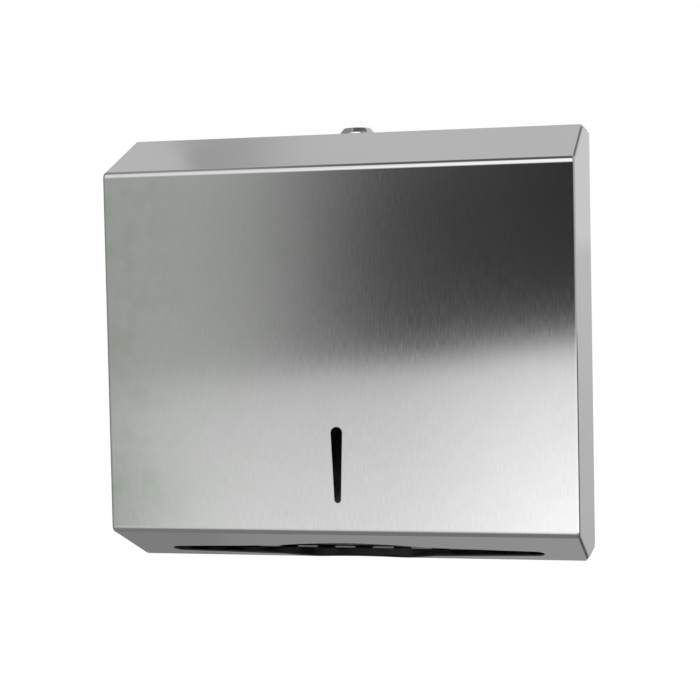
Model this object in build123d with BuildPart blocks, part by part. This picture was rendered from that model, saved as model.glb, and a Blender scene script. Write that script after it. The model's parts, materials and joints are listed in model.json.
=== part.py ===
from build123d import *
import os
from math import asin, atan2, cos, degrees, sin, tan

# A wall-mounted dispenser for folded paper towels, in millimetres.
# X runs to the right, Y into the wall and Z up. The origin is on the wall, in the middle of the
# four wall holes. The cover is shut, and the lock's cam is turned back, clear of its strike.

# Casing: one folded stainless sheet
casing_width = 280.0
casing_height = 260.0
casing_depth = 100.0
strip_depth = 42.0
slope_rise = 23.2
cover_sheet = 1.0
cover_bend = 4.2
side_bend = 1.9
wall_gap = 1.0
seam_gap = 0.3
seam_start = 3.0
side_drop = 2.2
side_corner = 5.0
strip_corner = 2.4

# View slot in the front panel
view_slot_length = 44.5
view_slot_top_width = 6.9
view_slot_bottom_width = 4.0
view_slot_height = 18.1

# Towel opening in the lower slope, a slot that tapers to its ends, with a wider gap for the fingers
towel_slot_margin = 24.7
towel_slot_width = 23.5
towel_slot_end_width = 12.0
towel_slot_setback = 17.5
finger_gap_length = 92.0
finger_gap_width = 41.0

# Rear plate
rear_sheet = 1.2
rear_bend = 2.2
rear_flange = 14.0
rear_corner_notch = 5.0
side_clearance = 0.8
top_clearance = 1.5
wall_hole_spacing_x = 200.0
wall_hole_spacing_z = 180.0
wall_hole_diameter = 6.5

# Piano hinge along the lower rear edge
knuckle_length = 12.4
knuckle_gap = 0.4
knuckle_seam = 0.4
pin_diameter = 2.9
pin_clearance = 0.05
pin_overhang = 0.8
leaf_sheet = 1.0
leaf_width = 22.0
leaf_overlap = 11.0
leaf_notch_clearance = 0.6
hinge_end_gap = 3.0

# Towel rests at both ends of the rear plate
rest_sheet = 1.2
rest_width = 18.0
rest_gap = 3.5
rest_front_gap = 18.0
rest_lip = 7.0
rest_bend = 3.0
rest_web_rear = 22.0
rest_web_front = 7.0
rest_clearance = 0.8

# Cam lock in the top of the cover
lock_distance = 28.0
lock_head_diameter = 22.2
lock_head_top_diameter = 16.4
lock_head_height = 4.0
lock_flange_height = 1.0
bezel_wall = 0.8
bezel_clearance = 0.05
barrel_diameter = 16.0
barrel_flats = 14.0
barrel_length = 20.0
barrel_hole_clearance = 0.2
plug_diameter = 12.0
plug_head_diameter = 13.2
plug_head_height = 2.2
plug_recess = 0.4
plug_clearance = 0.05
keyway_length = 8.4
keyway_width = 2.2
keyway_depth = 12.0
wafer_count = 4
wafer_thickness = 0.9
wafer_width = 3.8
wafer_length = 11.4
wafer_pitch = 2.2
wafer_clearance = 0.05
wafer_window_margin = 0.3
drive_square = 8.0
drive_clearance = 0.05
stop_washer_thickness = 1.0
stop_washer_diameter = 12.8
stop_gap = 0.1
stop_reach = 7.9
stop_tab_width = 4.4
stop_lug_width = 2.2
stop_lug_inner = 6.7
stop_lug_angle = 31.0
lock_travel = 90.0
cam_thickness = 2.0
cam_hub_diameter = 18.0
cam_tip_diameter = 13.0
cam_length = 24.0
cam_screw_diameter = 5.0
cam_screw_clearance = 0.05
cam_screw_length = 8.0
cam_screw_head_diameter = 9.0
cam_screw_head_height = 2.8
cam_screw_slot_width = 1.2
cam_screw_slot_depth = 1.4
cam_washer_thickness = 0.8
cam_washer_split = 1.0
nut_width = 20.0
nut_thickness = 4.5
nut_clearance = 0.05
lock_washer_diameter = 22.0
lock_washer_thickness = 0.8
lock_washer_teeth = 12
lock_washer_notch_width = 1.6
lock_washer_notch_depth = 1.6

# Strike on the rear plate, which the cam turns behind
strike_sheet = 1.5
strike_bend = 2.5
strike_width = 14.0
strike_side_clearance = 2.0
strike_cam_gap = 1.2
strike_lip_gap = 1.2
strike_lip_rise = 3.0
strike_base_height = 18.0

# Levels and directions that follow from the sizes above
half_width = casing_width / 2
half_height = casing_height / 2
front_y = -casing_depth
rear_y = -wall_gap
ridge_y = -strip_depth
slope_depth = casing_depth - strip_depth
front_half = half_height - slope_rise
slope_angle = atan2(slope_rise, slope_depth)

knuckle_radius = pin_diameter / 2 + pin_clearance + leaf_sheet
hinge_y = -(rear_sheet + knuckle_radius)
hinge_z = -half_height - leaf_sheet + knuckle_radius
hinge_length = casing_width - 2 * (cover_sheet + hinge_end_gap)
knuckle_count = 2 * round(hinge_length / knuckle_length / 2)
knuckle_pitch = hinge_length / knuckle_count
knuckle_places = [-hinge_length / 2 + knuckle_pitch * (i + 0.5) for i in range(knuckle_count)]

plate_half_width = half_width - cover_sheet - side_clearance
plate_top = half_height - cover_sheet - top_clearance
plate_bottom = hinge_z + knuckle_radius + leaf_notch_clearance

lock_y = -lock_distance
barrel_end = half_height - barrel_length
stop_washer_z = barrel_end - stop_gap - stop_washer_thickness
cam_z = stop_washer_z - cam_thickness
cam_washer_z = cam_z - cam_washer_thickness
lock_washer_z = half_height - cover_sheet - lock_washer_thickness


def at_lock(z):
    return Plane((0, lock_y, z))


# Front cover: front panel, two slopes, top and bottom strips and both sides
bottom_strip_end = hinge_y - leaf_width + leaf_overlap
towel_slot_plane = Plane(
    origin=(
        0,
        ridge_y - towel_slot_setback * cos(slope_angle),
        -half_height + towel_slot_setback * sin(slope_angle),
    ),
    x_dir=(1, 0, 0),
    z_dir=(0, -slope_rise, -slope_depth),
)
front_plane = Plane(origin=(0, front_y, 0), x_dir=(1, 0, 0), z_dir=(0, -1, 0))
with BuildPart() as front_cover:
    with BuildSketch(Plane.YZ):
        with BuildLine():
            Polyline(
                (front_y, -front_half),
                (front_y, front_half),
                (ridge_y, half_height),
                (rear_y, half_height),
                (rear_y, -half_height),
                (ridge_y, -half_height),
                close=True,
            )
        make_face()
    extrude(amount=half_width, both=True)
    cross_folds = front_cover.edges().filter_by(Axis.X).group_by(Axis.Y)[:-1]
    fillet(cross_folds[0] + cross_folds[1], cover_bend)
    side_outlines = front_cover.faces().filter_by(Axis.X).edges().group_by(Axis.Y)
    fillet([edge for group in side_outlines[:-1] for edge in group], side_bend)
    offset(amount=-cover_sheet, openings=front_cover.faces().sort_by(Axis.Y)[-1])

    # The bottom strip stops short of the hinge
    with Locations((0, bottom_strip_end, -half_height)):
        Box(
            casing_width - 2 * cover_sheet,
            casing_depth,
            4 * cover_sheet,
            align=(Align.CENTER, Align.MIN, Align.CENTER),
            mode=Mode.SUBTRACT,
        )

    # Open corner seams between the slopes and strips and the two sides, whose edges stand lower
    seam_front = front_y + seam_start
    seam_z = front_half + seam_start * tan(slope_angle)
    seam_margin = 2 * cover_sheet
    for side in (1, -1):
        for depth, inner, outer in (
            (2 * side_bend, half_width - cover_sheet - seam_gap, half_width - cover_sheet),
            (side_drop, half_width - cover_sheet, half_width + seam_margin),
        ):
            with BuildSketch(Plane.YZ.offset(side * inner)):
                for level in (1, -1):
                    with BuildLine():
                        Polyline(
                            (seam_front, level * (seam_z - depth)),
                            (seam_front, level * (seam_z + seam_margin)),
                            (ridge_y, level * (half_height + seam_margin)),
                            (0, level * (half_height + seam_margin)),
                            (0, level * (half_height - depth)),
                            (ridge_y, level * (half_height - depth)),
                            close=True,
                        )
                    make_face()
            extrude(amount=side * (outer - inner), mode=Mode.SUBTRACT)
    rear_corners = front_cover.edges().filter_by(Axis.X).group_by(Axis.Y)[-1]
    fillet(rear_corners.group_by(Axis.Z)[0], side_corner)

    # The bottom strip is cut away at both ends, and the slope's corners are rounded there
    notch_start = half_width - cover_sheet - seam_gap - strip_corner
    with BuildSketch(towel_slot_plane):
        for side, align in ((1, Align.MIN), (-1, Align.MAX)):
            with Locations((side * notch_start, strip_corner - towel_slot_setback)):
                Rectangle(strip_corner + seam_gap, casing_depth, align=(align, Align.MAX))
                Circle(strip_corner, mode=Mode.SUBTRACT)
    extrude(amount=slope_rise, both=True, mode=Mode.SUBTRACT)

    # Hole for the lock, round with two flats
    with BuildSketch(at_lock(half_height)):
        Circle(barrel_diameter / 2 + barrel_hole_clearance)
        Rectangle(barrel_flats + 2 * barrel_hole_clearance, casing_depth, mode=Mode.INTERSECT)
    extrude(amount=-2 * cover_sheet, mode=Mode.SUBTRACT)

    # Tapered view slot
    view_top = view_slot_height + view_slot_length - front_half
    view_bottom = view_slot_height - front_half
    with BuildSketch(front_plane):
        with Locations((0, view_top - view_slot_top_width / 2)):
            Circle(view_slot_top_width / 2)
        with Locations((0, view_bottom + view_slot_bottom_width / 2)):
            Circle(view_slot_bottom_width / 2)
        make_hull()
    extrude(amount=-2 * cover_sheet, mode=Mode.SUBTRACT)

    # Towel opening, whose finger gap runs over the fold into the bottom strip
    half_gap = finger_gap_length / 2
    half_slot = towel_slot_width / 2
    towel_slot_length = casing_width - 2 * towel_slot_margin
    with BuildSketch(towel_slot_plane):
        Rectangle(finger_gap_length, towel_slot_width)
        with GridLocations(towel_slot_length - towel_slot_end_width, 0, 2, 1):
            Circle(towel_slot_end_width / 2)
        make_hull()
        with BuildLine():
            ThreePointArc((-half_gap, half_slot), (0, finger_gap_width / 2), (half_gap, half_slot))
            Line((half_gap, half_slot), (half_gap, -half_slot))
            ThreePointArc((half_gap, -half_slot), (0, -finger_gap_width / 2), (-half_gap, -half_slot))
            Line((-half_gap, -half_slot), (-half_gap, half_slot))
        make_face()
    extrude(amount=slope_rise / 2, both=True, mode=Mode.SUBTRACT)

# Rear plate: a shallow pan, open at the front and along its lower edge
with BuildPart() as rear_plate:
    with BuildSketch(Plane.XZ):
        with Locations((0, (plate_top + plate_bottom) / 2)):
            Rectangle(2 * plate_half_width, plate_top - plate_bottom)
    extrude(amount=rear_flange)
    rear_edges = rear_plate.edges().group_by(Axis.Y)[-1]
    fillet(rear_edges.sort_by(Axis.Z)[1:], rear_bend)
    pan_openings = [rear_plate.faces().sort_by(Axis.Y)[0], rear_plate.faces().sort_by(Axis.Z)[0]]
    offset(amount=-rear_sheet, openings=pan_openings)
    with Locations([(x, -rear_flange, plate_top) for x in (-plate_half_width, plate_half_width)]):
        Box(
            2 * rear_corner_notch,
            2 * (rear_flange - rear_bend),
            2 * rear_corner_notch,
            mode=Mode.SUBTRACT,
        )
    with BuildSketch(Plane.XZ):
        with GridLocations(wall_hole_spacing_x, wall_hole_spacing_z, 2, 2):
            Circle(wall_hole_diameter / 2)
    extrude(amount=2 * rear_sheet, mode=Mode.SUBTRACT)


def hinge_leaf(profile_plane, cut_places):
    with BuildPart() as leaf:
        with BuildSketch(profile_plane):
            with BuildLine():
                Line((-leaf_width, -curl_radius), (0, -curl_radius))
                CenterArc((0, 0), curl_radius, -90, knuckle_wrap)
            trace(line_width=leaf_sheet)
        extrude(amount=(hinge_length - knuckle_gap) / 2, both=True)
        with Locations([(x, hinge_y, hinge_z) for x in cut_places]):
            Box(knuckle_pitch + knuckle_gap, notch_reach, notch_reach, mode=Mode.SUBTRACT)
    return leaf


# Hinge leaves, rolled round the pin and notched in turn: the rear one stands on the rear plate,
# the other lies under the bottom strip
curl_radius = knuckle_radius - leaf_sheet / 2
knuckle_wrap = 270 + degrees(asin((knuckle_radius - leaf_sheet - knuckle_seam) / knuckle_radius))
notch_reach = 2 * (knuckle_radius + leaf_notch_clearance)
hinge_point = (0, hinge_y, hinge_z)
rear_hinge_leaf = hinge_leaf(Plane(hinge_point, x_dir=(0, 0, -1), z_dir=(-1, 0, 0)), knuckle_places[0::2])
cover_hinge_leaf = hinge_leaf(Plane(hinge_point, x_dir=(0, 1, 0), z_dir=(1, 0, 0)), knuckle_places[1::2])

# Hinge pin
with BuildPart() as hinge_pin:
    with Locations(hinge_point):
        Cylinder(pin_diameter / 2, hinge_length + 2 * pin_overhang, rotation=(0, 90, 0))

# Strike: a hooked strip whose front lip stands ahead of the turned cam
strike_start = cam_hub_diameter / 2 + strike_side_clearance
strike_base_y = -rear_sheet - strike_sheet / 2
strike_arm_z = cam_z - strike_cam_gap - strike_sheet / 2
strike_lip_y = lock_y - cam_hub_diameter / 2 - strike_lip_gap - strike_sheet / 2
with BuildPart() as strike_bracket:
    with BuildSketch(Plane.YZ.offset(strike_start)):
        with BuildLine():
            FilletPolyline(
                (strike_base_y, strike_arm_z - strike_base_height),
                (strike_base_y, strike_arm_z),
                (strike_lip_y, strike_arm_z),
                (strike_lip_y, cam_z + cam_thickness + strike_lip_rise),
                radius=strike_bend,
            )
        trace(line_width=strike_sheet)
    extrude(amount=strike_width)

# Towel rests: a ledge along the casing's floor with a web against the rear plate's side flange
rest_outside = plate_half_width - rear_sheet
rest_rear = -(rear_sheet + leaf_sheet + rest_clearance)
rest_front = front_y + rest_front_gap
rest_rise = cover_sheet + rest_gap + rest_sheet / 2
rest_fold_y = ridge_y + rest_rise * tan(slope_angle / 2)
rest_floor = -half_height + rest_rise
rest_front_z = rest_floor + (rest_fold_y - rest_front) * tan(slope_angle)
with BuildPart() as towel_rest_right:
    with BuildSketch(Plane.YZ.offset(rest_outside)):
        with BuildLine():
            FilletPolyline(
                (rest_rear, rest_floor),
                (rest_fold_y, rest_floor),
                (rest_front, rest_front_z),
                (rest_front - rest_lip * sin(slope_angle), rest_front_z + rest_lip * cos(slope_angle)),
                radius=rest_bend,
            )
        trace(line_width=rest_sheet)
    extrude(amount=-rest_width)
    with BuildSketch(Plane.YZ.offset(rest_outside)):
        with BuildLine():
            Polyline(
                (rest_rear, rest_floor),
                (rest_fold_y, rest_floor),
                (rest_front + rest_bend, rest_front_z - rest_bend * tan(slope_angle)),
                (rest_front + rest_bend, rest_front_z + rest_web_front),
                (rest_fold_y, rest_floor + rest_web_rear),
                (rest_rear, rest_floor + rest_web_rear),
                close=True,
            )
        make_face()
    extrude(amount=-rest_sheet)
with BuildPart() as towel_rest_left:
    mirror(towel_rest_right.part, about=Plane.YZ)

# Lock barrel: threaded body with two flats, a stepped head and two stop lugs at its lower end
bezel_bore = lock_head_top_diameter / 2 - bezel_wall
bezel_flare = (lock_head_diameter - lock_head_top_diameter) / 2 / lock_head_height
bezel_skirt = lock_head_diameter / 2 - bezel_wall - bezel_flare * lock_flange_height
bezel_roof = half_height + lock_head_height - bezel_wall
bezel_step = half_height + lock_flange_height
plug_top = bezel_roof - bezel_clearance - plug_recess
plug_shoulder = plug_top - plug_head_height
with BuildPart() as lock_barrel:
    with BuildSketch(at_lock(barrel_end)):
        Circle(barrel_diameter / 2)
        Rectangle(barrel_flats, casing_depth, mode=Mode.INTERSECT)
    extrude(amount=barrel_length)
    with BuildSketch(at_lock(half_height)):
        Circle(bezel_skirt - bezel_clearance)
    extrude(amount=lock_flange_height - bezel_clearance)
    with BuildSketch(at_lock(half_height)):
        Circle(bezel_bore - bezel_clearance)
    extrude(amount=bezel_roof - bezel_clearance - half_height)
    for lug_turn in (90 + stop_lug_angle, 90 - lock_travel - stop_lug_angle):
        with BuildSketch(at_lock(barrel_end).rotated((0, 0, lug_turn))):
            with Locations(((stop_lug_inner + stop_reach) / 2, 0)):
                Rectangle(stop_reach - stop_lug_inner, stop_lug_width)
        extrude(amount=-stop_gap - stop_washer_thickness)
    with Locations(at_lock(barrel_end)):
        Cylinder(plug_diameter / 2 + plug_clearance, casing_depth, mode=Mode.SUBTRACT)
    with Locations(at_lock(plug_shoulder)):
        Cylinder(
            plug_head_diameter / 2 + plug_clearance,
            lock_head_height,
            align=(Align.CENTER, Align.CENTER, Align.MIN),
            mode=Mode.SUBTRACT,
        )

# Lock bezel: a bright conical ring over the barrel's head
with BuildPart() as lock_bezel:
    with BuildSketch(Plane.XZ.offset(lock_distance)):
        with BuildLine():
            Polyline(
                (bezel_skirt, half_height),
                (lock_head_diameter / 2, half_height),
                (lock_head_top_diameter / 2, half_height + lock_head_height),
                (plug_head_diameter / 2, half_height + lock_head_height),
                (plug_head_diameter / 2, bezel_roof),
                (bezel_bore, bezel_roof),
                (bezel_bore, bezel_step),
                (bezel_skirt, bezel_step),
                close=True,
            )
        make_face()
    revolve(axis=Axis((0, lock_y, 0), (0, 0, 1)))

# Toothed washer and nut under the cover's top strip
with BuildPart() as lock_washer:
    with BuildSketch(at_lock(lock_washer_z)):
        Circle(lock_washer_diameter / 2)
        Circle(barrel_diameter / 2 + barrel_hole_clearance, mode=Mode.SUBTRACT)
        with PolarLocations(lock_washer_diameter / 2, lock_washer_teeth):
            Rectangle(2 * lock_washer_notch_depth, lock_washer_notch_width, mode=Mode.SUBTRACT)
    extrude(amount=lock_washer_thickness)
with BuildPart() as lock_nut:
    with BuildSketch(at_lock(lock_washer_z)):
        RegularPolygon(nut_width / 2, 6, major_radius=False)
        Circle(barrel_diameter / 2 + nut_clearance, mode=Mode.SUBTRACT)
    extrude(amount=-nut_thickness)

# Lock plug: keyed cylinder with slots for its wafers, a square drive and a tapped end
wafer_levels = [plug_shoulder - wafer_pitch * (i + 1) for i in range(wafer_count)]
with BuildPart() as lock_plug:
    with BuildSketch(at_lock(barrel_end)):
        Circle(plug_diameter / 2)
    extrude(amount=plug_shoulder - barrel_end)
    with BuildSketch(at_lock(plug_shoulder)):
        Circle(plug_head_diameter / 2)
    extrude(amount=plug_head_height)
    with BuildSketch(at_lock(barrel_end)):
        Rectangle(drive_square, drive_square)
    extrude(amount=-stop_gap - stop_washer_thickness - cam_thickness / 2)
    with BuildSketch(at_lock(plug_top)):
        Rectangle(keyway_width, keyway_length)
    extrude(amount=-keyway_depth, mode=Mode.SUBTRACT)
    with Locations([(0, lock_y, z) for z in wafer_levels]):
        Box(
            wafer_width + 2 * wafer_clearance,
            2 * plug_diameter,
            wafer_thickness + 2 * wafer_clearance,
            mode=Mode.SUBTRACT,
        )
    with BuildSketch(at_lock(cam_z)):
        Circle(cam_screw_diameter / 2 + cam_screw_clearance)
    extrude(amount=cam_screw_length, mode=Mode.SUBTRACT)

# Wafers, each with a window for the key, drawn in as they are with the key in the lock
with BuildPart() as lock_wafers:
    with Locations([(0, lock_y, z) for z in wafer_levels]):
        Box(wafer_width, wafer_length, wafer_thickness)
        Box(keyway_width, keyway_length - 2 * wafer_window_margin, wafer_thickness, mode=Mode.SUBTRACT)

# Stop washer, whose tab swings between the barrel's lugs
with BuildPart() as stop_washer:
    with BuildSketch(at_lock(stop_washer_z)):
        Circle(stop_washer_diameter / 2)
        with Locations((0, stop_reach / 2)):
            Rectangle(stop_tab_width, stop_reach)
        Rectangle(
            drive_square + 2 * drive_clearance,
            drive_square + 2 * drive_clearance,
            mode=Mode.SUBTRACT,
        )
    extrude(amount=stop_washer_thickness)

# Cam
with BuildPart() as lock_cam:
    with BuildSketch(at_lock(cam_z)):
        Circle(cam_hub_diameter / 2)
        with Locations((0, cam_length - cam_tip_diameter / 2)):
            Circle(cam_tip_diameter / 2)
        make_hull()
        Rectangle(
            drive_square + 2 * drive_clearance,
            drive_square + 2 * drive_clearance,
            mode=Mode.SUBTRACT,
        )
    extrude(amount=cam_thickness)

# Split washer and screw that hold the cam
with BuildPart() as cam_washer:
    with BuildSketch(at_lock(cam_washer_z)):
        Circle(cam_screw_head_diameter / 2)
        Circle(cam_screw_diameter / 2 + cam_screw_clearance, mode=Mode.SUBTRACT)
        with Locations((cam_screw_head_diameter / 2, 0)):
            Rectangle(cam_screw_head_diameter, cam_washer_split, mode=Mode.SUBTRACT)
    extrude(amount=cam_washer_thickness)
with BuildPart() as cam_screw:
    with BuildSketch(at_lock(cam_washer_z)):
        Circle(cam_screw_diameter / 2)
    extrude(amount=cam_screw_length)
    with BuildSketch(at_lock(cam_washer_z)):
        Circle(cam_screw_head_diameter / 2)
    extrude(amount=-cam_screw_head_height)
    with BuildSketch(at_lock(cam_washer_z - cam_screw_head_height)):
        cross = cam_screw_head_diameter / 2
        Rectangle(cross, cam_screw_slot_width)
        Rectangle(cam_screw_slot_width, cross)
    extrude(amount=cam_screw_slot_depth, mode=Mode.SUBTRACT)

pieces = {
    "rear_plate": rear_plate,
    "strike_bracket": strike_bracket,
    "towel_rest_left": towel_rest_left,
    "towel_rest_right": towel_rest_right,
    "rear_hinge_leaf": rear_hinge_leaf,
    "hinge_pin": hinge_pin,
    "cover_hinge_leaf": cover_hinge_leaf,
    "front_cover": front_cover,
    "lock_barrel": lock_barrel,
    "lock_bezel": lock_bezel,
    "lock_washer": lock_washer,
    "lock_nut": lock_nut,
    "lock_plug": lock_plug,
    "lock_wafers": lock_wafers,
    "stop_washer": stop_washer,
    "lock_cam": lock_cam,
    "cam_washer": cam_washer,
    "cam_screw": cam_screw,
}
os.makedirs("parts", exist_ok=True)
for name, piece in pieces.items():
    piece.part.label = name
    export_step(piece.part, f"parts/{name}.step")
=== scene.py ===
import json
from math import atan2, cos, pi, radians, sin, sqrt, tan

import bmesh
import bpy
from mathutils import Matrix, Vector


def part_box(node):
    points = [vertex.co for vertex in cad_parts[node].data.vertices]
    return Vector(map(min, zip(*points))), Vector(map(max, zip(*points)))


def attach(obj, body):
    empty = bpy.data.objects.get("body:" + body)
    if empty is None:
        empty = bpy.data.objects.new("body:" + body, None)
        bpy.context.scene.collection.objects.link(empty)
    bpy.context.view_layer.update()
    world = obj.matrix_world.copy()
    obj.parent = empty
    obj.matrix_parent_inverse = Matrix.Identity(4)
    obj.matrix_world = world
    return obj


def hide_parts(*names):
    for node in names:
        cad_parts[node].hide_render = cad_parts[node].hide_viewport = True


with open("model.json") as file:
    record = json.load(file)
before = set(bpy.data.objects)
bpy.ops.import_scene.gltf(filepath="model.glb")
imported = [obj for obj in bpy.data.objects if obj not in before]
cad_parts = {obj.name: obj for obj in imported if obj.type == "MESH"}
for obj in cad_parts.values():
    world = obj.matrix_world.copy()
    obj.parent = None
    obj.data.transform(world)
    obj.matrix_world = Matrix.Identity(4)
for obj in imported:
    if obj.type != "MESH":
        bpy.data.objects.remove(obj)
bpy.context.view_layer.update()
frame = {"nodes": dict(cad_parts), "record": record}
nodes = frame["nodes"]
scene = bpy.context.scene
mm = 0.001
sharpAngle = radians(32)  # edges steeper than this stay sharp
print("frame loaded,", len(nodes), "nodes")


class Wire:  # one output socket, which takes Python maths
    def __init__(self, tree, socket):
        self.tree = tree
        self.socket = socket

    def pick(self, output):  # another output of the same node
        return Wire(self.tree, self.socket.node.outputs[output])

    def maths(self, operation, *inputs):
        return self.tree.add("Math", {"operation": operation}, dict(enumerate(inputs)))

    def __add__(self, other):
        return self.maths("ADD", self, other)

    def __radd__(self, other):
        return self.maths("ADD", other, self)

    def __sub__(self, other):
        return self.maths("SUBTRACT", self, other)

    def __rsub__(self, other):
        return self.maths("SUBTRACT", other, self)

    def __mul__(self, other):
        return self.maths("MULTIPLY", self, other)

    def __rmul__(self, other):
        return self.maths("MULTIPLY", other, self)

    def __truediv__(self, other):
        return self.maths("DIVIDE", self, other)

    def __neg__(self):
        return self.maths("MULTIPLY", self, -1.0)

    def __abs__(self):
        return self.maths("ABSOLUTE", self)


class Tree:  # the node tree of one material or of the world
    def __init__(self, nodeTree):
        self.nodes = nodeTree.nodes
        self.links = nodeTree.links
        self.nodes.clear()

    def add(self, kind, settings=None, sockets=None, output=0):
        node = self.nodes.new("ShaderNode" + kind)
        for name, value in (settings or {}).items():
            setattr(node, name, value)
        for name, value in (sockets or {}).items():
            if isinstance(value, Wire):
                self.links.new(value.socket, node.inputs[name])
            else:
                node.inputs[name].default_value = value
        return Wire(self, node.outputs[output]) if len(node.outputs) else None

    def smooth(self, value, low, high):  # 0 below low, 1 above high, eased between
        sockets = {"Value": value, "From Min": low, "From Max": high}
        return self.add("MapRange", {"interpolation_type": "SMOOTHSTEP"}, sockets)

    def ramp(self, value, low, high):  # the same with a straight rise
        return self.add("MapRange", {}, {"Value": value, "From Min": low, "From Max": high})

    def mixNumber(self, factor, a, b):
        return self.add("Mix", {"data_type": "FLOAT"}, {0: factor, 2: a, 3: b})

    def mixColour(self, factor, a, b):
        a, b = (c if isinstance(c, Wire) else (*c, 1.0) for c in (a, b))
        return self.add("Mix", {"data_type": "RGBA"}, {0: factor, 6: a, 7: b}, 2)

    def tint(self, colour, value):  # a colour times a number
        grey = self.add("CombineColor", {}, {0: value, 1: value, 2: value})
        settings = {"data_type": "RGBA", "blend_type": "MULTIPLY"}
        return self.add("Mix", settings, {0: 1.0, 6: colour, 7: grey}, 2)

    def vector(self, x, y, z):
        return self.add("CombineXYZ", {}, {0: x, 1: y, 2: z})

    def split(self, vector):
        parts = self.add("SeparateXYZ", {}, {0: vector})
        return parts, parts.pick("Y"), parts.pick("Z")

    def noise(self, vector, detail=2.0, roughness=0.5):
        sockets = {"Vector": vector, "Scale": 1.0, "Detail": detail, "Roughness": roughness}
        return self.add("TexNoise", {}, sockets)

    def grain(self, point, sizes, detail, roughness=0.5):  # noise of this size along each axis
        scaled = self.vector(*(c / size for c, size in zip(point, sizes)))
        return self.noise(scaled, detail, roughness)

    def place(self):  # the point on the piece, in millimetres
        point = self.add("TexCoord", output="Object")
        return self.add("VectorMath", {"operation": "SCALE"}, {0: point, "Scale": 1 / mm})

    def bump(self, height, depth):  # depth in millimetres
        return self.add("Bump", {}, {"Strength": 1.0, "Distance": depth * mm, "Height": height})


def newMetal(name, paint):
    material = bpy.data.materials.new(name)
    material.use_nodes = True
    tree = Tree(material.node_tree)
    shader = tree.add("BsdfPrincipled", {}, {"Metallic": 1.0, **paint(tree)})
    tree.add("OutputMaterial", {}, {"Surface": shader})
    return material


# Brushed sheet of the cover: hairlines run up the front and on over the slopes, the inside is dull
# and painted dark as shade, and green blots at the front's left are partly smudges, partly painted
# reflection
coverSheet = dict(
    light=(0.653, 0.656, 0.653),
    dark=(0.595, 0.598, 0.595),
    grainSpan=(0.25, 0.75),
    # painted shade: the inside faces get this dark colour for the shade inside the casing
    insideShade=(0.19, 0.19, 0.187),
    insideRoughness=0.36,
    insideSpread=0.2,
    middle=(0.0, -30.0, 0.0),  # a point in the casing, to tell outside from inside
    outsideSpan=(-0.30, -0.12),
    frontSpan=(0.90, 0.99),
    sideSpan=(0.6, 0.8),
    slopeRun=0.9,  # how far the hairlines advance along the slopes
    hair=(0.45, 7.0, 9.0),  # width and length in mm, shift by side
    band=(1.4, 12.0, 5.0),
    cloudSize=(60.0, 60.0, 60.0),
    grainHair=0.75,
    grainRest=0.35,  # share of the grain that is left off the front
    # blots: random smudges, and near the front's left a painted reflection of green surroundings
    smudgeAndReflection=(0.558, 0.595, 0.549),
    smudgeSize=(17.0, 17.0, 17.0),
    smudgeSpan=(0.44, 0.64),
    reflectionReach=(78.0, 128.0),
    smudgeAndReflectionShare=(0.1, 0.7),
    roughness=0.109,
    polishHair=0.8,
    polishSpread=0.066,
    cloudSpread=0.02,
    brush=0.72,
    hairDepth=0.00052,
    waveDepth=0.02,
)


def paintCover(tree):
    s = coverSheet
    point = tree.place()
    x, y, z = tree.split(point)
    normal = tree.add("TexCoord", output="Normal")
    outward = tree.add("VectorMath", {"operation": "SUBTRACT"}, {0: point, 1: s["middle"]})
    outward = tree.add("VectorMath", {"operation": "NORMALIZE"}, {0: outward})
    facing = tree.add("VectorMath", {"operation": "DOT_PRODUCT"}, {0: outward, 1: normal}, "Value")
    outside = tree.smooth(facing, *s["outsideSpan"])
    nx, ny = tree.split(normal)[:2]
    front = tree.smooth(-ny, *s["frontSpan"])
    across = tree.mixNumber(tree.smooth(abs(nx), *s["sideSpan"]), x, y)
    along = z + y * s["slopeRun"]
    width, length, shift = s["hair"]
    hair = tree.noise(tree.vector(across / width, along / length, nx * shift), 2)
    width, length, shift = s["band"]
    band = tree.noise(tree.vector(across / width, along / length, nx * shift), 3)
    cloud = tree.grain((x, y, z), s["cloudSize"], 3)
    share, rest = s["grainHair"], s["grainRest"]
    grain = 0.5 + (hair * share + band * (1 - share) - 0.5) * (rest + (1 - rest) * front)
    steel = tree.mixColour(tree.smooth(grain, *s["grainSpan"]), s["dark"], s["light"])
    blot = tree.smooth(tree.grain((x, y, z), s["smudgeSize"], 3), *s["smudgeSpan"])
    # painted reflection: the blots thicken towards the front's left edge
    overall, reflectionAtLeft = s["smudgeAndReflectionShare"]
    blotAndReflection = overall + reflectionAtLeft * (tree.smooth(-x, *s["reflectionReach"]) * front)
    steel = tree.mixColour(blot * blotAndReflection, steel, s["smudgeAndReflection"])
    # painted shade: faces turned inward take the dark inside colour
    colour = tree.mixColour(outside, s["insideShade"], steel)
    share = s["polishHair"]
    uneven = (hair * share + band * (1 - share) - 0.5) * front
    polish = s["roughness"] + uneven * s["polishSpread"] + (cloud - 0.5) * s["cloudSpread"]
    dull = s["insideRoughness"] + (cloud - 0.5) * s["insideSpread"]
    roughness = tree.mixNumber(outside, dull, polish)
    bump = tree.bump(hair * front + cloud * (s["waveDepth"] / s["hairDepth"]), s["hairDepth"])
    return {"Base Color": colour, "Roughness": roughness, "Normal": bump, "Anisotropic": s["brush"]}


# Mill finish of the rear plate, the rests and the strike, its colour kept darker as painted shade
# for the casing's dim inside
rearSheet = dict(
    light=(0.46, 0.46, 0.452),
    dark=(0.32, 0.32, 0.315),
    roughness=0.19,
    roughnessSpread=0.1,
    colourSpan=(0.3, 0.7),
    rollSize=(40.0, 3.0, 0.8),
    rollDepth=0.006,
    cloudSize=(22.0, 22.0, 22.0),
    cloudRoughness=0.6,
)


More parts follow.
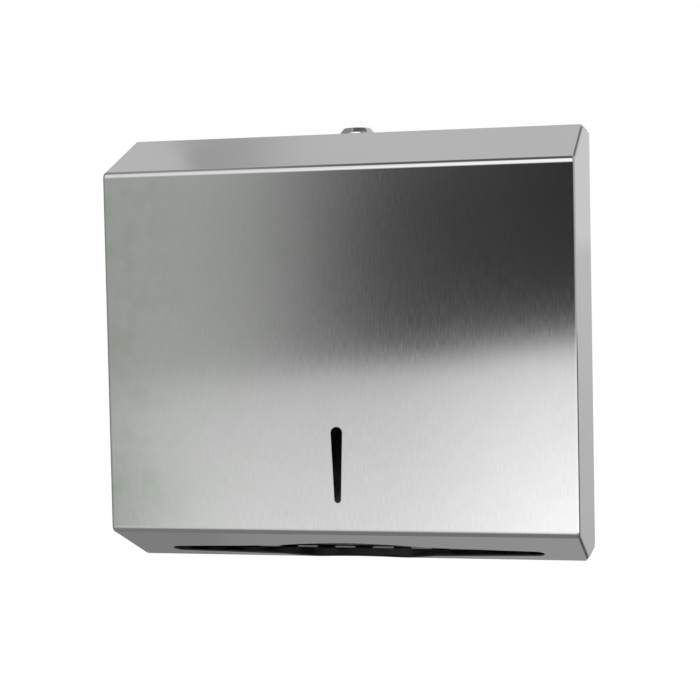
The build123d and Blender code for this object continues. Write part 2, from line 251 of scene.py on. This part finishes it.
def paintRear(tree):
    s = rearSheet
    point = tree.split(tree.place())
    roll = tree.grain(point, s["rollSize"], 3)
    cloud = tree.grain(point, s["cloudSize"], 4, s["cloudRoughness"])
    mottle = tree.smooth(roll * 0.5 + cloud * 0.5, *s["colourSpan"])
    # painted shade: the low tones darken the plate where it is seen inside the casing
    colour = tree.mixColour(mottle, s["dark"], s["light"])
    roughness = s["roughness"] + (cloud - 0.5) * s["roughnessSpread"]
    return {"Base Color": colour, "Roughness": roughness, "Normal": tree.bump(roll, s["rollDepth"])}


# Rolled strip of the hinge, brighter than the plate
hingeStrip = dict(
    light=(0.66, 0.66, 0.65),
    dark=(0.52, 0.52, 0.51),
    roughness=0.22,
    roughnessSpread=0.14,
    colourSpan=(0.3, 0.7),
    rollSize=(30.0, 0.4, 0.4),
    rollDepth=0.008,
    cloudSize=(9.0, 9.0, 9.0),
)


def paintHinge(tree):
    s = hingeStrip
    point = tree.split(tree.place())
    roll = tree.grain(point, s["rollSize"], 3)
    cloud = tree.grain(point, s["cloudSize"], 3)
    colour = tree.mixColour(tree.smooth(roll, *s["colourSpan"]), s["dark"], s["light"])
    roughness = s["roughness"] + (cloud - 0.5) * s["roughnessSpread"]
    return {"Base Color": colour, "Roughness": roughness, "Normal": tree.bump(roll, s["rollDepth"])}


# Polished bezel, with faint scuffs
bezelChrome = dict(
    light=(0.72, 0.72, 0.73),
    dark=(0.65, 0.65, 0.66),
    roughness=0.07,
    hazeSize=(3.0, 3.0, 3.0),
    hazeSpread=0.05,
    hazeDepth=0.002,
    scuffSize=(0.3, 4.0, 0.3),
    scuffSpan=(0.62, 0.75),
    scuffSpread=0.12,
)


def paintBezel(tree):
    s = bezelChrome
    point = tree.split(tree.place())
    haze = tree.grain(point, s["hazeSize"], 4)
    scuff = tree.smooth(tree.grain(point, s["scuffSize"], 2), *s["scuffSpan"])
    colour = tree.mixColour(haze, s["dark"], s["light"])
    roughness = s["roughness"] + haze * s["hazeSpread"] + scuff * s["scuffSpread"]
    return {"Base Color": colour, "Roughness": roughness, "Normal": tree.bump(haze, s["hazeDepth"])}


# Satin plate on the lock's other pieces
lockPlate = dict(
    light=(0.62, 0.62, 0.60),
    dark=(0.50, 0.50, 0.48),
    roughness=0.3,
    roughnessSpread=0.2,
    pitSize=(0.5, 0.5, 0.5),
    pitDepth=0.03,
    cloudSize=(5.0, 5.0, 5.0),
)


def paintLock(tree):
    s = lockPlate
    point = tree.split(tree.place())
    pits = tree.grain(point, s["pitSize"], 3)
    cloud = tree.grain(point, s["cloudSize"], 3)
    colour = tree.mixColour(cloud, s["dark"], s["light"])
    roughness = s["roughness"] + (pits - 0.5) * s["roughnessSpread"]
    return {"Base Color": colour, "Roughness": roughness, "Normal": tree.bump(pits, s["pitDepth"])}


# Nickel on brass, worn through round the keyway
plugNickel = dict(
    nickel=(0.66, 0.64, 0.58),
    brass=(0.72, 0.56, 0.28),
    roughness=0.22,
    roughnessSpread=0.15,
    cloudSize=(1.2, 1.2, 1.2),
    cloudDepth=0.01,
    wornReach=(1.2, 2.2),  # mm from the keyway's middle
    wornSpan=(0.4, 0.6),
)


def paintPlug(tree):
    s = plugNickel
    point = tree.split(tree.place())
    cloud = tree.grain(point, s["cloudSize"], 4)
    worn = (1 - tree.smooth(abs(point[0]), *s["wornReach"])) * tree.smooth(cloud, *s["wornSpan"])
    colour = tree.mixColour(worn, s["nickel"], s["brass"])
    roughness = s["roughness"] + (cloud - 0.5) * s["roughnessSpread"]
    bump = tree.bump(cloud, s["cloudDepth"])
    return {"Base Color": colour, "Roughness": roughness, "Normal": bump}


finishes = {
    "cover_steel": paintCover,
    "rear_steel": paintRear,
    "hinge_steel": paintHinge,
    "lock_bright": paintBezel,
    "lock_plated": paintLock,
    "plug_brass": paintPlug,
}
metals = {slot: newMetal(slot + "_finish", paint) for slot, paint in finishes.items()}
for part in frame["record"]["subparts"]:
    nodes[part["node"]].material_slots[0].material = metals[part["material_slot"]]
print("finishes on", len(nodes), "nodes")


def newMesh(name, points, faces):  # points in millimetres
    mesh = bpy.data.meshes.new(name)
    mesh.from_pydata([tuple(c * mm for c in p) for p in points], [], faces)
    shell = bmesh.new()
    shell.from_mesh(mesh)
    bmesh.ops.recalc_face_normals(shell, faces=shell.faces)
    shell.to_mesh(mesh)
    shell.free()
    return mesh


def addPiece(name, mesh, body, slot, replaced=None, material=None):
    mesh.shade_smooth()
    mesh.set_sharp_from_angle(angle=sharpAngle)
    mesh.materials.clear()
    mesh.materials.append(material or metals[slot])
    piece = bpy.data.objects.new(name, mesh)
    scene.collection.objects.link(piece)
    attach(piece, body)
    if replaced:
        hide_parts(replaced)
    return piece


def turned(outline, steps, shape=None, hollow=True):  # the outline's radius and height, round Z
    points, faces = [], []
    for radius, height in outline:
        for i in range(steps):
            angle = 2 * pi * i / steps
            r, h = shape(angle, radius, height) if shape else (radius, height)
            points.append((r * cos(angle), r * sin(angle), h))
    rows = len(outline)
    for j in range(rows if hollow else rows - 1):
        k = (j + 1) % rows
        for i in range(steps):
            n = (i + 1) % steps
            faces.append((j * steps + i, j * steps + n, k * steps + n, k * steps + i))
    if not hollow:
        faces.append(tuple(reversed(range(steps))))
        faces.append(tuple(range((rows - 1) * steps, rows * steps)))
    return points, faces


def shifted(points, x=0.0, y=0.0, z=0.0):
    return [(px + x, py + y, pz + z) for px, py, pz in points]


def carved(name, mesh, cutter):  # the mesh with the cutter's space taken out
    blank = bpy.data.objects.new(name + "_blank", mesh)
    tool = bpy.data.objects.new(name + "_cutter", cutter)
    for thing in (blank, tool):
        scene.collection.objects.link(thing)
    cut = blank.modifiers.new("cut", "BOOLEAN")
    cut.solver = "EXACT"
    cut.object = tool
    bpy.context.view_layer.update()
    depsgraph = bpy.context.evaluated_depsgraph_get()
    done = bpy.data.meshes.new_from_object(blank.evaluated_get(depsgraph))
    done.name = name
    for thing in (blank, tool):
        bpy.data.objects.remove(thing)
    return done


def boxOf(node):  # a node's lowest and highest corners, in millimetres
    low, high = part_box(node)
    return [c / mm for c in low], [c / mm for c in high]


bezelLow, bezelHigh = boxOf("lock_bezel")
lockX = (bezelLow[0] + bezelHigh[0]) / 2
lockY = (bezelLow[1] + bezelHigh[1]) / 2

# Lock bezel with a rounded rim
bezelRing = dict(
    base=11.1,
    top=8.2,
    height=4.0,
    footEdge=((0.15, 0.0), (0.03, 0.05)),  # inset and height
    foot=1.0,
    footRun=0.36,
    footStops=(0.2, 0.85),
    flankStops=(0.06, 0.4),
    bore=6.6,
    boreLead=0.2,
    skirt=9.575,
    neck=7.4,
    roof=3.2,
    step=1.0,
    rim=0.9,
    rimSteps=8,
    steps=96,
)


def addBezel():
    s = bezelRing
    knee = s["base"] - s["footRun"]
    run, rise = knee - s["top"], s["height"] - s["foot"]
    lean = atan2(run, rise)  # the flank's normal stands this far above level
    back = s["rim"] * tan((pi / 2 - lean) / 2)
    centreR = s["top"] - back
    centreZ = s["height"] - s["rim"]
    rim = []
    for i in range(s["rimSteps"] + 1):
        angle = lean + (pi / 2 - lean) * i / s["rimSteps"]
        rim.append((centreR + s["rim"] * cos(angle), centreZ + s["rim"] * sin(angle)))
    bore, lead = s["bore"], s["boreLead"]
    outline = [(s["skirt"], 0.0)]
    outline += [(s["base"] - inset, height) for inset, height in s["footEdge"]]
    outline += [(s["base"] - s["footRun"] * t, s["foot"] * t) for t in s["footStops"]]
    outline += [(knee - run * t, s["foot"] + rise * t) for t in s["flankStops"]]
    outline += rim
    outline += [(bore + lead, s["height"]), (bore, s["height"] - lead), (bore, s["roof"])]
    outline += [(s["neck"], s["roof"]), (s["neck"], s["step"]), (s["skirt"], s["step"])]
    points, faces = turned(outline, s["steps"])
    ring = newMesh("bezel_ring", shifted(points, lockX, lockY, bezelLow[2]), faces)
    addPiece("bezel_ring", ring, "cover", "lock_bright", "lock_bezel")


addBezel()

# Thread on the lock barrel, cut into its round sides
barrelThread = dict(
    root=7.45,
    over=8.3,
    pitch=1.0,
    fill=0.86,
    steps=36,
    low=109.0,
    high=127.6,
    merge=0.002,  # points closer than this are joined
)


def addBarrel():
    s = barrelThread
    body = bmesh.new()
    body.from_mesh(nodes["lock_barrel"].data)
    bmesh.ops.remove_doubles(body, verts=body.verts, dist=s["merge"] * mm)
    blank = bpy.data.meshes.new("barrel_blank")
    body.to_mesh(blank)
    body.free()
    if "custom_normal" in blank.attributes:
        blank.attributes.remove(blank.attributes["custom_normal"])
    count = int((s["high"] - s["low"]) / s["pitch"] * s["steps"])
    half = s["pitch"] * s["fill"] / 2
    points, faces = [], []
    for i in range(count + 1):
        angle = 2 * pi * i / s["steps"]
        z = s["low"] + s["pitch"] * i / s["steps"]
        for r, h in ((s["root"], z), (s["over"], z - half), (s["over"], z + half)):
            points.append((r * cos(angle), r * sin(angle), h))
    for i in range(count):
        a, b = 3 * i, 3 * i + 3
        for j in range(3):
            k = (j + 1) % 3
            faces.append((a + j, a + k, b + k, b + j))
    faces.append((2, 1, 0))
    faces.append((3 * count, 3 * count + 1, 3 * count + 2))
    groove = newMesh("barrel_groove", shifted(points, lockX, lockY), faces)
    barrel = carved("threaded_barrel", blank, groove)
    addPiece("threaded_barrel", barrel, "cover", "lock_plated", "lock_barrel")


addBarrel()

# Hexagon nut with chamfered corners
hexNut = dict(flats=20.0, bore=8.05, lead=0.5, shoulder=9.6, chamfer=30.0, steps=96)


def addNut():
    s = hexNut
    low, high = boxOf("lock_nut")

    def corner(angle, radius, height):
        if radius < s["flats"] / 2:
            return radius, height
        edge = s["flats"] / 2 / cos(angle % (pi / 3) - pi / 6)
        drop = (edge - s["shoulder"]) * tan(radians(s["chamfer"]))
        return edge, height + (drop if height == low[2] else -drop)

    bore, lead, flat = s["bore"], s["lead"], s["flats"] / 2
    base = low[2]
    outline = [(bore, base + lead), (bore + lead, base), (s["shoulder"], base), (flat, base)]
    outline += [(r, base + high[2] - h) for r, h in reversed(outline)]
    points, faces = turned(outline, s["steps"], corner)
    nut = newMesh("hex_nut", shifted(points, lockX, lockY), faces)
    addPiece("hex_nut", nut, "cover", "lock_plated", "lock_nut")


addNut()

# Cam screw: pan head with a cross recess
panScrew = dict(
    head=4.5,
    height=2.8,
    dome=(
        (0.25, -1.0),
        (0.55, -0.985),
        (0.78, -0.9),
        (0.92, -0.72),
        (0.985, -0.45),
        (1.0, -0.2),
        (1.0, 0.0),
    ),
    shank=2.5,
    tip=0.6,
    length=8.0,
    arm=2.3,
    width=0.55,
    recess=((-0.4, 1.12), (1.5, 0.5)),  # depth and size at the mouth and at the end
    taper=0.6,
    steps=64,
)


def addScrew():
    s = panScrew
    high = boxOf("cam_screw")[1]
    seat = high[2] - s["length"]
    h, tip = s["height"], s["tip"]
    outline = [(s["head"] * r, seat + h * t) for r, t in s["dome"]]
    outline += [(s["shank"], seat), (s["shank"], high[2] - tip), (s["shank"] - tip, high[2])]
    points, faces = turned(outline, s["steps"], hollow=False)
    blank = newMesh("screw_blank", shifted(points, lockX, lockY), faces)
    points, faces = [], []
    for depth, scale in s["recess"]:
        z = seat - h + depth
        a, w = s["arm"] * scale, s["width"] * (1 - s["taper"] + s["taper"] * scale)
        quarter = [(a, -w), (a, w), (w, w)]
        for c, d in ((1, 0), (0, 1), (-1, 0), (0, -1)):
            points += [(c * x - d * y, d * x + c * y, z) for x, y in quarter]
    count = len(points) // 2
    ring = range(count)
    faces += [(i, (i + 1) % count, count + (i + 1) % count, count + i) for i in ring]
    faces += [tuple(reversed(ring)), tuple(count + i for i in ring)]
    recess = newMesh("screw_recess", shifted(points, lockX, lockY), faces)
    addPiece("pan_screw", carved("pan_screw", blank, recess), "lock", "lock_plated", "cam_screw")


addScrew()

# Hinge pin with peened ends
peenedPin = dict(end=0.7, tip=((0.35, 0.0), (0.7, 0.12), (0.9, 0.45), (1.0, 1.0)), steps=24)


def addPin():
    s = peenedPin
    low, high = boxOf("hinge_pin")
    radius = (high[2] - low[2]) / 2
    outline = [(radius * r, low[0] + s["end"] * t) for r, t in s["tip"]]
    outline += [(radius * r, high[0] - s["end"] * t) for r, t in reversed(s["tip"])]
    points, faces = turned(outline, s["steps"], hollow=False)
    y, z = (low[1] + high[1]) / 2, (low[2] + high[2]) / 2
    points = [(pz, px + y, py + z) for px, py, pz in points]
    addPiece("peened_pin", newMesh("peened_pin", points, faces), "rear", "hinge_steel", "hinge_pin")


addPin()
print("lock and hinge pieces made")

# Spot welds: shallow pressed marks where the hinge leaves are joined on
spotWeld = dict(
    radius=2.7,
    rise=0.07,
    ring=((1.0, -0.4), (0.9, 1.0), (0.78, 1.0), (0.66, 0.35), (0.2, 0.3)),
    steps=20,
    # dark weld oxide; on the seam welds this dark also stands in as painted shade in the seam gaps
    light=(0.22, 0.21, 0.20),
    dark=(0.10, 0.095, 0.09),
    colourSpan=(0.35, 0.65),
    roughness=0.38,
    roughnessSpread=0.2,
    scaleSize=(0.7, 0.7, 0.7),
    scaleDepth=0.02,
    row=[30.0 * i for i in range(-4, 5)],
    stripY=-20.2,  # row through the cover's leaf and bottom strip
    stripRise=2.0,
    rearY=-2.2,  # row on the rear leaf
    rearZ=-113.0,
)


def paintWeld(tree):
    s = spotWeld
    scale = tree.grain(tree.split(tree.place()), s["scaleSize"], 3)
    colour = tree.mixColour(tree.smooth(scale, *s["colourSpan"]), s["dark"], s["light"])
    roughness = s["roughness"] + (scale - 0.5) * s["roughnessSpread"]
    bump = tree.bump(scale, s["scaleDepth"])
    return {"Base Color": colour, "Roughness": roughness, "Normal": bump}


weldOxideAndShade = newMetal("weld_oxide_and_shade_finish", paintWeld)


def addWelds(name, body, slot, places, facing):
    s = spotWeld
    outline = [(s["radius"] * r, s["rise"] * h) for r, h in s["ring"]]
    mark, skin = turned(outline, s["steps"], hollow=False)
    turn = Vector((0, 0, 1)).rotation_difference(Vector(facing))
    mark = [tuple(turn @ Vector(p)) for p in mark]
    points, faces = [], []
    for place in places:
        faces += [tuple(len(points) + i for i in face) for face in skin]
        points += shifted(mark, *place)
    addPiece(name, newMesh(name, points, faces), body, slot, material=weldOxideAndShade)


# Welds along the inside of the four corner seams; their dark colour is partly weld oxide, partly
# painted shade for the open seam gaps
seamWeld = dict(
    ridge=-42.0,
    rise=0.4,
    start=-93.0,
    rearTop=-3.0,
    rearBottom=-16.0,
    depth=(1.02, 2.6),
    inner=137.6,
    outer=138.97,
)


def addSeams():
    s = seamWeld
    low, high = boxOf("front_cover")
    slant = sqrt(1 + s["rise"] ** 2)
    points, faces = [], []
    for level, top, rear in ((1, high[2], s["rearTop"]), (-1, -low[2], s["rearBottom"])):
        outline = []
        for depth in s["depth"]:
            fold = s["ridge"] + depth * (slant - 1) / s["rise"]
            front = top + s["rise"] * (s["start"] - s["ridge"]) - depth * slant
            path = [(s["start"], front), (fold, top - depth), (rear, top - depth)]
            outline += path[::-1] if outline else path
        for side in (1, -1):
            first, count = len(points), len(outline)
            last = first + count
            for x in (s["inner"], s["outer"]):
                points += [(side * x, y, level * z) for y, z in outline]
            faces += [tuple(range(first, last)), tuple(range(last, last + count))]
            for j in range(count):
                k = (j + 1) % count
                faces.append((first + j, first + k, last + k, last + j))
    # painted shade: dark beads fill the seams where they read as dark gaps
    seams = newMesh("seam_welds_shade", points, faces)
    addPiece("seam_welds_shade", seams, "cover", "cover_steel", material=weldOxideAndShade)


def addWeldRows():
    s = spotWeld
    leafZ = boxOf("cover_hinge_leaf")[0][2]
    under = [(x, s["stripY"], leafZ) for x in s["row"]]
    over = [(x, s["stripY"], leafZ + s["stripRise"]) for x in s["row"]]
    rear = [(x, s["rearY"], s["rearZ"]) for x in s["row"]]
    addWelds("cover_leaf_welds", "cover", "hinge_steel", under, (0, 0, -1))
    addWelds("strip_welds", "cover", "cover_steel", over, (0, 0, 1))
    addWelds("rear_leaf_welds", "rear", "hinge_steel", rear, (0, -1, 0))


addSeams()
addWeldRows()
print("seam and weld pieces made")

# Camera, at the photograph's angle
shot = dict(
    eye=(0.226095, -1.039189, 0.04291),
    yaw=13.004,
    pitch=2.527,
    roll=1.194,
    focal=1669.562,
    image=700,
    sensor=36.0,
)


def addCamera():
    yaw, pitch, roll = (radians(shot[k]) for k in ("yaw", "pitch", "roll"))
    forward = Vector((-sin(yaw) * cos(pitch), cos(yaw) * cos(pitch), -sin(pitch)))
    level = Vector((cos(yaw), sin(yaw), 0))
    down = forward.cross(level)
    right = level * cos(roll) + down * sin(roll)
    up = level * sin(roll) - down * cos(roll)
    data = bpy.data.cameras.new("camera")
    data.sensor_width = shot["sensor"]
    data.lens = shot["focal"] / shot["image"] * data.sensor_width
    camera = bpy.data.objects.new("camera", data)
    scene.collection.objects.link(camera)
    turn = Matrix((right, up, -forward)).transposed().to_4x4()
    camera.matrix_world = Matrix.Translation(shot["eye"]) @ turn
    scene.camera = camera


addCamera()

# Studio that the metal sees around it: tones by direction, spans in degrees
studio = dict(
    wall=0.542,  # ahead, at the left
    wallLeft=0.28,
    wallLeftSpan=(-80.0, -30.0),
    flag=0.058,  # the dark side of the wall ahead
    flagSpan=(-17.46, -11.96),
    flagDip=0.022,
    flagDipSpan=(-11.5, -6.0),
    flagLift=0.035,
    flagLiftRise=(2.0, 4.2),
    flagLiftSpan=(-10.5, -7.5),
    wallRight=0.56,
    wallRightSpan=(30.0, 75.0),
    sky=(1.08, 1.45),
    skyTurn=(-21.0, -12.0),
    skySpan=(-60.0, -30.0, 25.0, 55.0),
    skyRise=(10.0, 24.0),
    roof=(0.52, 0.14),
    roofTurn=(-0.325, -0.215),  # by the direction's x
    roofRise=(66.0, 72.0),
    behind=0.66,
    behindLow=0.68,
    behindRise=(5.0, 20.0),
    behindPatch=0.30,
    behindPatchSpan=(17.4, 22.0, 23.0, 23.6),
    roofBehindRise=(50.0, 58.0),
    turnRight=(70.0, 125.0),
    turnLeft=(-152.0, -140.0),
    near=0.60,  # floor ahead
    nearMiddle=0.159,
    nearMiddleSpan=(-23.0, -17.95),
    nearRight=0.421,
    nearRightSpan=(-12.1, -5.07),
    nearGain=0.379,
    nearGainSpan=(3.4, 9.04),
    nearLeft=0.28,
    nearLeftSpan=(-80.0, -30.0),
    nearAside=0.72,
    nearAsideSpan=(0.0, 10.0),
    nearAsideDrop=(10.0, 13.0),
    nearEnd=(75.0, 95.0),
    dark=0.13,
    nadir=(0.27, 0.25),
    nadirSpan=(9.0, 52.0),
    far=(0.38, 0.31),  # floor behind
    farSpan=(6.0, 22.0),
    farPatch=0.14,
    farPatchSpan=(20.0, 21.5),
    farSide=0.58,
    farSideSlope=0.006,
    farSideSpan=(8.0, 30.0),
    farEnd=(42.0, 58.0),
    farTurn=(150.0, 163.0),
    edge=3.45,  # the floor starts this far below level
    edgeFirst=0.45,
    edgeFirstSpan=(-18.5, -11.0),
    edgeLast=0.62,
    edgeLastSpan=(-9.9, -5.6),
    edgeBehind=-0.9,
    edgeHalf=0.351,
    green=(0.93, 1.07, 0.91),  # tint of the reflections at the left
    greenSpan=(-50.0, -32.0, -17.0, -12.0),
    greenUpper=0.16,
    greenLower=0.02,
    greenEdge=(-2.0, 2.0),
    leafTurn=(-20.6, -19.1),
    leafSize=1.5,
    leafSpan=(0.4, 0.6),
    leafTint=0.55,
    leafShade=0.2,
    leafDrop=(5.7, 6.8),
    leftShade=(0.13, 0.33),
    leftShadeTurn=(-21.5, -20.7),
    leftRise=(8.8, 11.0),
)


def addWorld():
    s = studio
    world = bpy.data.worlds.new("studio")
    world.use_nodes = True
    scene.world = world
    tree = Tree(world.node_tree)
    smooth, ramp, mix = tree.smooth, tree.ramp, tree.mixNumber
    dx, dy, dz = tree.split(tree.add("TexCoord", output="Generated"))
    degrees = 180 / pi
    azimuth = dx.maths("ARCTAN2", dx, -dy) * degrees  # 0 ahead of the dispenser, + to its right
    rear = dx.maths("ARCTAN2", -dx, dy) * degrees  # 0 behind it
    elevation = dx.maths("ARCSINE", dz) * degrees
    below = -elevation

    def window(value, a, b, c, d):  # rises from a to b, falls from c to d
        return smooth(value, a, b) * (1 - smooth(value, c, d))

    ahead = mix(smooth(azimuth, *s["wallLeftSpan"]), s["wallLeft"], s["wall"])
    ahead = mix(smooth(azimuth, *s["flagSpan"]), ahead, s["flag"])
    ahead = ahead - s["flagDip"] * ramp(azimuth, *s["flagDipSpan"])
    haze = smooth(elevation, *s["flagLiftRise"]) * (1 - smooth(azimuth, *s["flagLiftSpan"]))
    ahead = ahead + s["flagLift"] * haze
    ahead = mix(smooth(azimuth, *s["wallRightSpan"]), ahead, s["wallRight"])
    sky = mix(smooth(azimuth, *s["skyTurn"]), *s["sky"])
    ahead = mix(window(azimuth, *s["skySpan"]) * smooth(elevation, *s["skyRise"]), ahead, sky)
    roof = mix(smooth(dx, *s["roofTurn"]), *s["roof"])
    ahead = mix(smooth(elevation, *s["roofRise"]), ahead, roof)

    patch = window(rear, *s["behindPatchSpan"]) * s["behindPatch"]
    behind = mix(ramp(elevation, *s["behindRise"]), s["behindLow"], s["behind"] * (1 - patch))
    behind = mix(smooth(elevation, *s["roofBehindRise"]), behind, s["roof"][1])
    rearward = 1 - smooth(azimuth, *s["turnLeft"]) * (1 - smooth(azimuth, *s["turnRight"]))
    upper = mix(rearward, ahead, behind)

    near = s["near"] + s["nearMiddle"] * smooth(azimuth, *s["nearMiddleSpan"])
    near = near + s["nearRight"] * smooth(azimuth, *s["nearRightSpan"])
    near = near * (1 + s["nearGain"] * ramp(below, *s["nearGainSpan"]))
    near = mix(smooth(azimuth, *s["nearLeftSpan"]), s["nearLeft"], near)
    aside = smooth(azimuth, *s["nearAsideSpan"]) * smooth(below, *s["nearAsideDrop"])
    near = mix(aside, near, s["nearAside"])
    nadir = mix(smooth(dx, *s["roofTurn"]), *s["nadir"])
    near = mix(smooth(below, *s["nadirSpan"]), near, nadir)
    near = mix(smooth(azimuth, *s["nearEnd"]), near, s["dark"])
    far = mix(ramp(rear, *s["farSpan"]), *s["far"])
    far = far * (1 - s["farPatch"] * smooth(rear, *s["farPatchSpan"]))
    far = mix(ramp(below, *s["farSideSpan"]), s["farSide"] - s["farSideSlope"] * below, far)
    far = mix(smooth(below, *s["farEnd"]), far, nadir)
    away = smooth(abs(azimuth), *s["farTurn"])
    lower = mix(away, near, far)

    edge = s["edge"] - s["edgeFirst"] * ramp(azimuth, *s["edgeFirstSpan"])
    edge = edge - s["edgeLast"] * ramp(azimuth, *s["edgeLastSpan"])
    edge = mix(away, edge, s["edgeBehind"])
    tone = mix(smooth(below - edge, -s["edgeHalf"], s["edgeHalf"]), upper, lower)

    a, b, c, d = s["greenSpan"]
    level = smooth(azimuth, a, b) * (1 - rearward) * (1 - smooth(abs(elevation), *s["leftRise"]))
    lowDown = smooth(below - edge, *s["greenEdge"])
    drop = smooth(below, *s["leafDrop"])
    speckle = tree.noise(tree.vector(azimuth / s["leafSize"], elevation / s["leafSize"], 0.0), 3)
    bush = (1 - smooth(azimuth, *s["leafTurn"])) * level
    leaf = bush * (smooth(speckle, *s["leafSpan"]) + drop)
    left = mix(lowDown, s["greenUpper"], s["greenLower"]) * level
    left = left * (1 - smooth(azimuth, c, d)) + leaf * s["leafTint"]
    shade = mix(lowDown, *s["leftShade"]) * level * (1 - smooth(azimuth, *s["leftShadeTurn"]))
    tone = tone * (1 - leaf * s["leafShade"] * drop) * (1 - shade)
    around = tree.tint(tree.mixColour(left, (1.0, 1.0, 1.0), s["green"]), tone)

    path = tree.add("LightPath", output="Is Camera Ray")
    plain = path.maths("MAXIMUM", path, path.pick("Is Diffuse Ray"))
    colour = tree.mixColour(plain, around, (1.0, 1.0, 1.0))
    shader = tree.add("Background", {}, {"Color": colour, "Strength": 1.0})
    tree.add("OutputWorld", {}, {"Surface": shader})


addWorld()

# Pale floor, well below the open cover
floor = dict(
    level=-0.90,
    half=8.0,
    tone=(0.86, 0.86, 0.86),
    speck=(0.9, 0.9, 0.9),
    speckSize=(30.0, 30.0, 30.0),
    glow=0.8,  # share of plain white that the camera sees
    glowStrength=1.05,
)


def addFloor():
    h, z = floor["half"], floor["level"]
    mesh = bpy.data.meshes.new("floor")
    mesh.from_pydata([(-h, -h, z), (h, -h, z), (h, h, z), (-h, h, z)], [], [(0, 1, 2, 3)])
    ground = bpy.data.objects.new("floor", mesh)
    scene.collection.objects.link(ground)
    ground.visible_glossy = False
    material = bpy.data.materials.new("floor_paint")
    material.use_nodes = True
    tree = Tree(material.node_tree)
    speck = tree.grain(tree.split(tree.place()), floor["speckSize"], 3)
    tone = tree.mixColour(speck, floor["tone"], floor["speck"])
    paint = tree.add("BsdfDiffuse", {}, {"Color": tone})
    white = {"Color": (1, 1, 1, 1), "Strength": floor["glowStrength"]}
    glow = tree.add("Emission", {}, white)
    seen = tree.add("LightPath", output="Is Camera Ray") * floor["glow"]
    shader = tree.add("MixShader", {}, {0: seen, 1: paint, 2: glow})
    tree.add("OutputMaterial", {}, {"Surface": shader})
    mesh.materials.append(material)


addFloor()
scene.view_settings.view_transform = "Standard"
print("camera, studio and floor in place")
